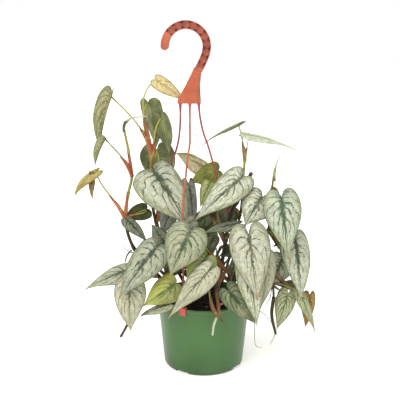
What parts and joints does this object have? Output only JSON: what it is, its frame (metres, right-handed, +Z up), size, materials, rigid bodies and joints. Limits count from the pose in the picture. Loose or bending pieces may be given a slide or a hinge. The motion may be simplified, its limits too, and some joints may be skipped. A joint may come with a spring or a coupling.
{
  "type": "potted silver leaf philodendron",
  "caption": "Trailing aroid house plant with silvery heart-shaped leaves on bare stems, in a round plastic nursery pot with a hook hanger clipped to its rim.",
  "frame": {"origin": "middle of the pot's foot, on the surface that the pot stands on", "axes": "+Z up; -Y towards the viewer of the plant's best side; +X to that viewer's right"},
  "size_m": [0.3874, 0.2217, 0.5569],
  "materials": {
    "pot_plastic": "mid green moulded plastic with a soft sheen",
    "hanger_plastic": "terracotta red moulded plastic",
    "potting_mix": "black-brown crumbly potting mix with bark",
    "leaf_silver": "silver marbling on dark green, satin",
    "leaf_pale": "cream silver with fine green veins, satin",
    "leaf_green": "dull olive green, satin",
    "leaf_yellow": "yellowing leaf with brown edges, satin",
    "stem_green": "orange red sheaths and yellow green stalks, satin",
    "stem_bark": "dark brown older stems, dull"
  },
  "bodies": {
    "root": {"pot": "pot_plastic", "soil": "potting_mix", "hanger_hook": "hanger_plastic", "hanger_strand_front": "hanger_plastic", "hanger_strand_right": "hanger_plastic", "hanger_strand_back_left": "hanger_plastic", "vine_left": "stem_bark", "vine_middle_left": "stem_green", "vine_tall_right": "stem_green", "vine_cut": "stem_bark", "vine_right": "stem_green", "vine_front": "stem_green", "vine_low_right": "stem_bark", "vine_low_left": "stem_bark", "vine_back": "stem_bark", "leaf_left_1": "leaf_silver", "leaf_left_2": "leaf_yellow", "leaf_left_3": "leaf_pale", "leaf_left_4": "leaf_silver", "leaf_left_5": "leaf_green", "leaf_middle_left_1": "leaf_silver", "leaf_middle_left_2": "leaf_yellow", "leaf_middle_left_3": "leaf_green", "leaf_middle_left_4": "leaf_green", "leaf_middle_left_5": "leaf_green", "leaf_middle_left_6": "leaf_silver", "leaf_middle_left_7": "leaf_silver", "leaf_middle_left_8": "leaf_silver", "leaf_tall_right_1": "leaf_silver", "leaf_tall_right_2": "leaf_pale", "leaf_tall_right_3": "leaf_silver", "leaf_tall_right_4": "leaf_yellow", "leaf_tall_right_5": "leaf_green", "leaf_cut_1": "leaf_green", "leaf_cut_2": "leaf_green", "leaf_cut_3": "leaf_silver", "leaf_cut_4": "leaf_silver", "leaf_right_1": "leaf_silver", "leaf_right_2": "leaf_silver", "leaf_right_3": "leaf_silver", "leaf_right_4": "leaf_silver", "leaf_front_1": "leaf_silver", "leaf_front_2": "leaf_silver", "leaf_front_3": "leaf_silver", "leaf_front_4": "leaf_green", "leaf_low_right_1": "leaf_silver", "leaf_low_right_2": "leaf_silver", "leaf_low_right_3": "leaf_pale", "leaf_low_right_4": "leaf_green", "leaf_low_right_5": "leaf_pale", "leaf_low_right_6": "leaf_pale", "leaf_low_right_7": "leaf_yellow", "leaf_low_left_1": "leaf_silver", "leaf_low_left_2": "leaf_pale", "leaf_low_left_3": "leaf_yellow", "leaf_low_left_4": "leaf_silver", "leaf_back_1": "leaf_silver", "leaf_back_2": "leaf_silver", "leaf_back_3": "leaf_silver", "leaf_back_4": "leaf_silver"}
  },
  "joints": []
}
